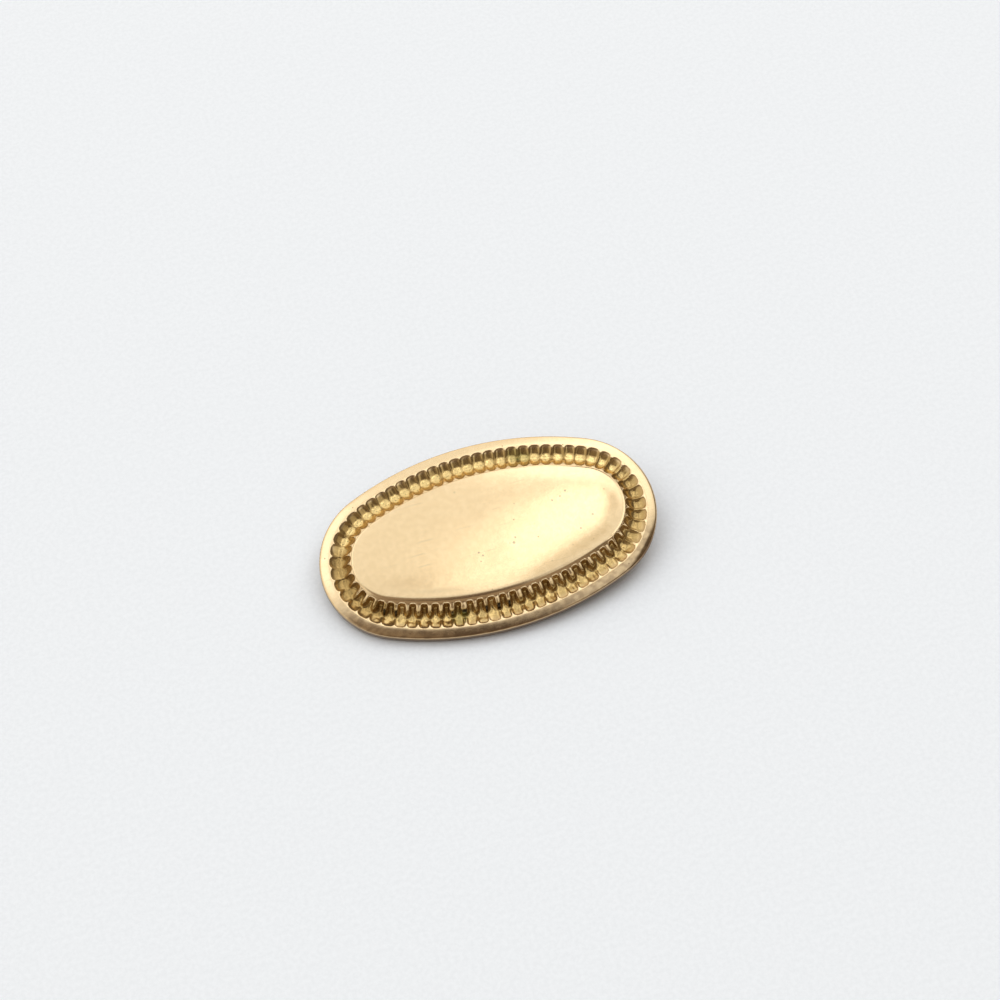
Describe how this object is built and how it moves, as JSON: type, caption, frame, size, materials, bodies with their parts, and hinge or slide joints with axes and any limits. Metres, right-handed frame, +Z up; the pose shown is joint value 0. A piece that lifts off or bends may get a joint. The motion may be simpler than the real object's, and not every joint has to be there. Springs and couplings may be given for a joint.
{
  "type": "oval brooch pin",
  "caption": "Oval brooch with a smooth domed middle, a border of radial flutes and a plain rim, closed by a back plate that carries the pin.",
  "frame": {"origin": "middle of the brooch's bounding box, on the surface it lies on", "axes": "+X along the oval towards the hinge end, +Y across it towards the raised far edge, +Z up; the near edge touches the surface"},
  "size_m": [0.0254, 0.0144, 0.0038],
  "materials": {
    "rose_gold": "satin gold over brass, worn, dark dirt in the flutes",
    "back_brass": "worn plain brass",
    "pin_wire": "drawn wire, plain"
  },
  "bodies": {
    "root": {"front_plaque": "rose_gold", "back_plate": "back_brass", "pin_stem": "pin_wire"}
  },
  "joints": []
}
